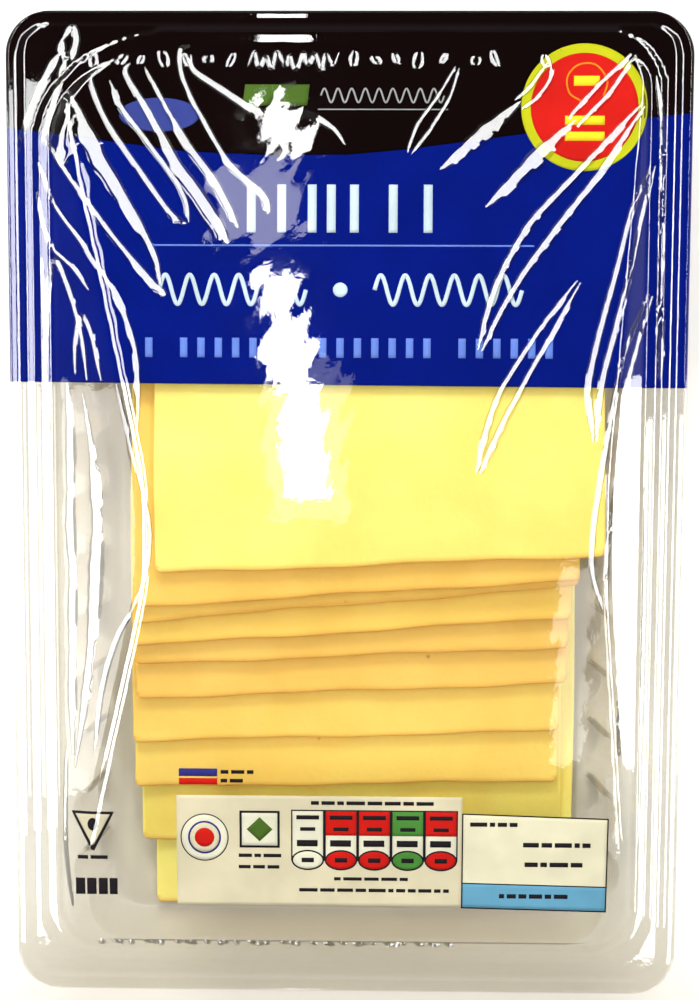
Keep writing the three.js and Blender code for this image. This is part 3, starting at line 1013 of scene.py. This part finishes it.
def disc(cx, cy, rx, ry):
    # a square grid bent into an ellipse, so that it has no pole
    count = max(5, int(2 * max(rx, ry) / ink["spacing"]) | 1)
    line = np.linspace(-1, 1, count)
    u, v = np.meshgrid(line, line)
    return cx + rx * u * np.sqrt(1 - v**2 / 2), cy + ry * v * np.sqrt(1 - u**2 / 2)


def ribbon(path, width, count):
    # a stroke of even width along a smooth curve
    curve = curveThrough(path, count)
    place = curve + rightOf(curve) * width / 2 * np.linspace(1, -1, 3)[:, None, None]
    return place[..., 0], place[..., 1]


tones = {
    "black": (11, 3, 3), "blue": (3, 20, 110), "pale": (188, 204, 214), "sky": (100, 128, 208),
    "cream": (205, 196, 168), "paper": (217, 211, 184), "white": (214, 211, 190), "red": (190, 30, 24),
    "orange": (226, 132, 34), "yellow": (232, 206, 44), "lime": (179, 181, 29), "green": (72, 130, 56),
    "leaf": (72, 100, 38), "grey": (150, 150, 152), "dusk": (54, 64, 132), "water": (98, 154, 182),
    "dark": (34, 30, 34), "navy": (50, 48, 120),
}
inks = {name: inkMaterial("ink" + name.capitalize(), linear(*tone)) for name, tone in tones.items()}

head = pack["halfLength"] - ink["margin"]
headLine = [(-pack["halfWidth"], head), (pack["halfWidth"], head)]
bluePart = between(ink["foot"], [(x, y + ink["overlap"]) for x, y in ink["meet"]], ink["blueRows"])
blackPart = between(ink["meet"], headLine, ink["blackRows"])
makeArt("print_blue_field", [(bluePart, "blue", ink["blueLayer"])])
makeArt("print_black_field", [(blackPart, "black", ink["blackLayer"])])

# the roundel at the upper right: rings, a curved line and three plain bars
roundel = {
    "ring": (47.8, 83.1, 12.8, 12.8),
    "field": (47.8, 83.1, 10.9, 10.9),
    "stroke": (0.35, 40),
    "hook": [(51.6, 85.2), (52.3, 88.5), (50, 91.6), (46.5, 91.6), (44.3, 89.2), (44.7, 86), (47, 84.4)],
    "bars": [(45.6, 50.8, 87.4, 89.4), (43.9, 51.9, 79.6, 81.4), (43.9, 51.9, 76.4, 78.2)],
}
makeArt("print_roundel", [
    (disc(*roundel["ring"]), "lime", 5),
    (disc(*roundel["field"]), "red", 4),
    (ribbon(roundel["hook"], *roundel["stroke"]), "orange", 3),
    *[(bar(*sides), "yellow", 3) for sides in roundel["bars"]],
])

# the title on the blue and the small marks in the black. A wave is its left, its right, its middle, its
# height, how many there are, and the stroke's width.
title = {
    "bars": (-20.6, -14.4, -8.2, -4.3, 0.4, 8.3, 15.4),
    "barWidth": 1.8,
    "barEnds": (57.8, 67.5),
    "rule": (-40.2, 37.9, 55.0, 55.35),
    "waves": [(-38.5, -8.5, 46.2, 3.0, 6, 0.85), (5.5, 35.5, 46.2, 3.0, 6, 0.85)],
    "dot": (-1.5, 46.2, 1.5, 1.5),
    "blocks": (1, 7, 7, 6),
    "blocksFrom": -41.4,
    "blockWidth": 1.5,
    "blockEnds": (32.4, 36.4),
    "blockPitch": 3.55,
    "blockGap": 3.6,
}
marks = {
    "oval": (-38.5, 81.5, 8.2, 3.4),
    "block": [(-21.5, 83.4), (-8.4, 83.4), (-7.9, 87.6), (-21.0, 87.6)],
    "rule": (-6.2, 20.2, 82.5, 82.75),
    "wave": (-5.6, 19.4, 85.4, 1.4, 9, 0.35),
}


def waveStroke(left, right, middle, height, waves, width):
    # a pen stroke that follows a plain sine wave from left to right
    t = np.linspace(0, 1, 12 * waves)
    path = np.stack([left + (right - left) * t, middle + height * np.sin(2 * math.pi * waves * t)], -1)
    return ribbon(path, width, 30 * waves)


def makeTitle():
    # plain upright bars, a thin line, two waves with a dot between them, and small blocks in groups
    parts = [(bar(left, left + title["barWidth"], *title["barEnds"]), "pale", 4) for left in title["bars"]]
    parts.append((bar(*title["rule"]), "sky", 4))
    before, after = (waveStroke(*wave) for wave in title["waves"])
    parts += [(shape, "pale", 4) for shape in (before, disc(*title["dot"]), after)]
    left = title["blocksFrom"]
    for count in title["blocks"]:
        for _ in range(count):
            parts.append((bar(left, left + title["blockWidth"], *title["blockEnds"]), "sky", 4))
            left += title["blockPitch"]
        left += title["blockGap"]
    makeArt("print_title", parts)


makeTitle()
makeArt("print_marks", [
    (disc(*marks["oval"]), "dusk", 4),
    (patch(marks["block"]), "leaf", 4),
    (bar(*marks["rule"]), "grey", 4),
    (waveStroke(*marks["wave"]), "grey", 4),
])

dash = {"shortest": 1.1, "step": 0.28, "gap": 0.55, "least": 0.5}


def dashedLine(left, right, y, height, seed, layer=3):
    # a line of small print as plain dashes of uneven length
    parts = []
    at = left
    step = seed
    while at < right - dash["least"]:
        step = (step * 7 + 3) % 11
        run = min(dash["shortest"] + dash["step"] * step, right - at)
        parts.append((bar(at, at + run, y - height / 2, y + height / 2), "dark", layer))
        at += run + dash["gap"]
    return parts


# the lower panel. A dashed line is its left, its right, its middle, its height and a seed.
panel = {
    "field": (-35.7, 24.5, -83.5, -59.4),
    "target": (-29.8, -68.6),
    "rings": [
        (5.1, 5.2, "dark", 4), (4.85, 4.95, "white", 3), (3.5, 3.6, "navy", 2), (3.1, 3.2, "cream", 1),
        (2.1, 2.1, "red", 0),
    ],
    "frame": (-22.4, -13.9, -70.8, -62.7),
    "card": (-21.9, -14.4, -70.3, -63.2),
    "lozenge": [(-18.15, -69.4), (-15.4, -66.75), (-18.15, -64.1), (-20.9, -66.75)],
    "dashes": [
        (-22.6, -13.6, -72.5, 0.75, 2), (-22.6, -13.6, -75.0, 0.75, 5), (-7.3, 19.4, -60.9, 0.8, 3),
        (-2.4, 13.2, -77.5, 0.7, 6), (-9.8, 21.9, -80.0, 0.75, 1),
    ],
    "cell": (-73.6, -62.4),
    "cellInside": (-73.4, -62.7),
    "cellTone": (-68.0, -62.7),
    "cellFrame": 0.3,
    "oval": (-73.4, 3.45, 2.25),
    "ovalInside": (-73.4, 3.1, 1.9),
    "columns": ("white", "red", "red", "green", "red"),
    "columnsFrom": -11.5,
    "columnWidth": 7.03,
    "columnDashes": [
        (-2.4, 2.4, -64.5, -63.6, 1), (-1.6, 1.6, -67.0, -66.2, 1), (-2.3, 2.1, -70.4, -69.0, 1),
        (-1.3, 1.3, -73.9, -72.9, 0),
    ],
}


def panelColumn(left, tone):
    # a framed cell, its upper half toned, with an oval at its foot and a few dashes
    right = left + panel["columnWidth"]
    middle = (left + right) / 2
    inside = (left + panel["cellFrame"], right - panel["cellFrame"])
    parts = [(bar(left, right, *panel["cell"]), "dark", 4), (bar(*inside, *panel["cellInside"]), "white", 3)]
    if tone != "white":
        parts.append((bar(*inside, *panel["cellTone"]), tone, 2))
    parts.append((disc(middle, *panel["oval"]), "dark", 2))
    parts.append((disc(middle, *panel["ovalInside"]), tone, 1))
    for start, end, low, high, layer in panel["columnDashes"]:
        parts.append((bar(middle + start, middle + end, low, high), "dark", layer))
    return parts


def makePanel():
    # the panel's field, a target, a lozenge on a framed card, dashed lines and the table's columns
    parts = [(bar(*panel["field"]), "cream", 5)]
    parts += [(disc(*panel["target"], *reach), tone, layer) for *reach, tone, layer in panel["rings"]]
    parts.append((bar(*panel["frame"]), "dark", 4))
    parts.append((bar(*panel["card"]), "white", 3))
    parts.append((patch(panel["lozenge"]), "leaf", 2))
    for line in panel["dashes"]:
        parts += dashedLine(*line)
    for column, tone in enumerate(panel["columns"]):
        parts += panelColumn(panel["columnsFrom"] + panel["columnWidth"] * column, tone)
    makeArt("print_panel", parts)


makePanel()

dateBox = {
    "fields": [
        ([(24.5, -83.8), (55.2, -84.4), (55.3, -63.8), (24.5, -62.9)], "dark", 5),
        ([(24.8, -83.5), (54.9, -84.1), (55.0, -64.1), (24.8, -63.2)], "paper", 4),
        ([(24.8, -83.5), (54.9, -84.1), (54.95, -78.9), (24.8, -78.3)], "water", 3),
        ([(24.8, -78.35), (54.95, -78.95), (54.95, -78.7), (24.8, -78.1)], "dark", 2),
    ],
    "dashes": [
        (26.2, 36.2, -65.3, 0.9, 4), (37.4, 51.6, -69.7, 1.0, 7), (37.8, 50.0, -74.0, 1.0, 2),
        (32.5, 47.0, -81.0, 0.95, 9),
    ],
}
boxParts = [(patch(corners), tone, layer) for corners, tone, layer in dateBox["fields"]]
for line in dateBox["dashes"]:
    boxParts += dashedLine(*line, layer=2)
makeArt("print_date_box", boxParts)

# the triangle and the blocks at the lower left, and the two stripes above the panel
sideMarks = {
    "triangle": [(-53.8, -71.7), (-53.2, -71.7), (-48.9, -63.2), (-58.1, -63.2)],
    "inside": [(-53.7, -70.4), (-53.3, -70.4), (-49.8, -63.8), (-57.2, -63.8)],
    "dot": (-53.5, -66.0, 1.1, 1.4),
    "blocks": [(-57.3, -55.3), (-54.9, -52.9), (-52.4, -50.5), (-50.1, -48.4)],
    "blockEnds": (-81.4, -77.8),
    "stripes": [((-35.1, -27.0, -55.3, -53.6), "navy"), ((-35.1, -27.0, -57.1, -55.7), "red")],
    "under": (-56.8, -50.3, -73.2, 0.8, 8),
    "beside": [(-26.3, -18.6, -54.3, 0.8, 3), (-26.3, -21.6, -56.2, 0.8, 6)],
}
makeArt("print_side_marks", [
    (patch(sideMarks["triangle"]), "dark", 5),
    (patch(sideMarks["inside"]), "cream", 4),
    (disc(*sideMarks["dot"]), "dark", 3),
    *dashedLine(*sideMarks["under"]),
    *[(bar(left, right, *sideMarks["blockEnds"]), "dark", 4) for left, right in sideMarks["blocks"]],
    *[(bar(*sides), tone, 5) for sides, tone in sideMarks["stripes"]],
    *dashedLine(*sideMarks["beside"][0]),
    *dashedLine(*sideMarks["beside"][1]),
])
print("print made")


# floor, lights and camera

floorLook = {
    "half": 3.0,
    "drop": 0.0002,
    "paintedShadeMiddle": -0.118,  # the painted shade's middle, before the pack's foot
    "paintedShadeReach": (0.141, 0.034),
    "paintedShadePool": linear(218, 213, 203),
}


def makeFloor():
    # one wide plain sheet under the pack, with a soft grey pool of painted shade before the pack's foot
    shader = Shader(bpy.data.materials.new("paleFloor"))
    grain = shader.grain(300.0, 6.0)
    cloud = shader.ramp(grain["Broad"], 0, 1)
    pale = shader.blend(cloud, linear(247, 247, 246), linear(251, 251, 250))
    reachX, reachY = floorLook["paintedShadeReach"]
    centred = shader.add("ShaderNodeMapping", {
        "Vector": shader.add("ShaderNodeTexCoord").outputs["Object"],
        "Location": (0.0, -floorLook["paintedShadeMiddle"] / reachY, 0.0),
        "Scale": (1 / reachX, 1 / reachY, 1.0),
    })
    # painted shade: the floor's colour greys towards the middle of this ellipse
    paintedShadePool = shader.add("ShaderNodeTexGradient", {"Vector": centred}, gradient_type="SPHERICAL")
    shade = shader.ramp(paintedShadePool.outputs["Fac"], 0.0, 1.0, 0.0, 0.55)
    shader.finish(shader.add("ShaderNodeBsdfPrincipled", {
        "Base Color": shader.blend(shade, pale, floorLook["paintedShadePool"]),
        "Roughness": shader.ramp(grain["Fine"], 0.7, 0.8),
        "Specular IOR Level": 0.1,
    }))
    half = floorLook["half"]
    mesh = bpy.data.meshes.new("floor")
    corners = [(-half, -half, 0), (half, -half, 0), (half, half, 0), (-half, half, 0)]
    mesh.from_pydata(corners, [], [(0, 1, 2, 3)])
    mesh.materials.append(shader.owner)
    floor = bpy.data.objects.new("floor", mesh)
    floor.location.z = -floorLook["drop"]
    bpy.context.scene.collection.objects.link(floor)


makeFloor()


def makeLamp(row):
    # a rectangle that shines away from the cross product of across and up, with a power that follows its area
    across, up = Vector(row["across"]), Vector(row["up"])
    data = bpy.data.lights.new(row["name"], "AREA")
    data.shape = "RECTANGLE"
    data.size = 2 * across.length * mm
    data.size_y = 2 * up.length * mm
    data.energy = row["glow"] * data.size * data.size_y * 4
    lamp = bpy.data.objects.new(row["name"], data)
    turn = Matrix((across.normalized(), up.normalized(), across.cross(up).normalized())).transposed()
    lamp.matrix_world = Matrix.Translation(Vector(row["at"]) * mm) @ turn.to_4x4()
    lamp.visible_camera = False
    lamp.visible_glossy = row.get("mirrored", True)
    bpy.context.scene.collection.objects.link(lamp)


for row in lamps:
    makeLamp(row)


dome = {"horizon": 0.6, "overhead": 0.03, "span": (0.35, 0.9)}  # the span is of a direction's height


def makeWorld():
    # a plain soft dome: dark overhead, brighter towards the horizon
    world = bpy.data.worlds.new("studio")
    bpy.context.scene.world = world
    shader = Shader(world)
    place = shader.add("ShaderNodeTexCoord").outputs["Generated"]
    height = shader.add("ShaderNodeSeparateXYZ", {0: place}).outputs["Z"]
    strength = shader.ramp(height, dome["horizon"], dome["overhead"], *dome["span"])
    shader.finish(shader.add("ShaderNodeBackground", {"Strength": strength}), "ShaderNodeOutputWorld")


makeWorld()


def makeCamera():
    # the viewpoint, given by its place, its turn and its lens
    data = bpy.data.cameras.new("camera")
    data.lens = view["lens"]
    data.sensor_width = 36.0
    data.clip_start = 0.01
    data.clip_end = 20.0
    camera = bpy.data.objects.new("camera", data)
    camera.location = [value * mm for value in view["place"]]
    camera.rotation_euler = [math.radians(value) for value in view["turn"]]
    bpy.context.scene.collection.objects.link(camera)
    bpy.context.scene.camera = camera
    bpy.context.scene.view_settings.view_transform = "Standard"


makeCamera()
print("floor, lamps and camera made")

bpy.context.view_layer.update()
